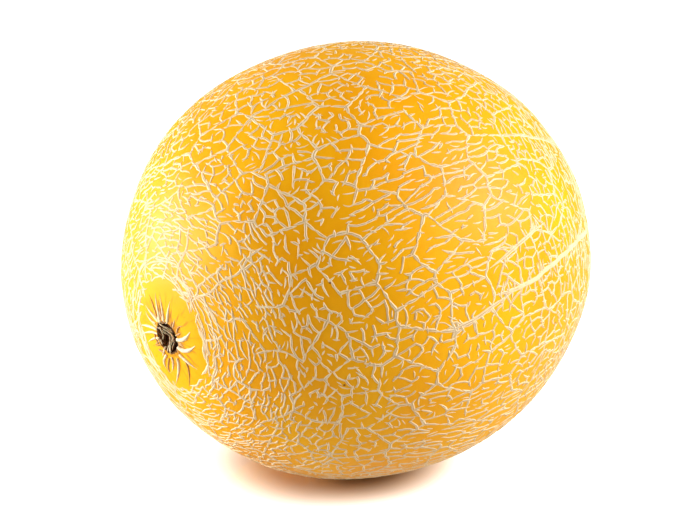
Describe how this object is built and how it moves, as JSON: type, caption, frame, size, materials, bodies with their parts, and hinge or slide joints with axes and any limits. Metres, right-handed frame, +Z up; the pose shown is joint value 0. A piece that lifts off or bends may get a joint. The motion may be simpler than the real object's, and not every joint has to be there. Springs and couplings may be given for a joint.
{
  "type": "melon",
  "caption": "Whole netted melon lying on its side: a plump yellow-orange rind under a raised corky net, with a dry stem scar at one end and a corky button at the other.",
  "frame": {"origin": "on the surface that the melon rests on, under the middle of its box", "axes": "+X along the melon from the stem end to the blossom end, +Y across it, +Z up"},
  "size_m": [0.1618, 0.1478, 0.146],
  "materials": {
    "rind": "waxy yellow-orange fruit skin, satin, with soft highlights",
    "net": "dry beige cork, matt and finely rough",
    "scar": "dry dark brown stem tissue with cream fibres, matt"
  },
  "bodies": {
    "root": {"melon": "rind"}
  },
  "joints": []
}
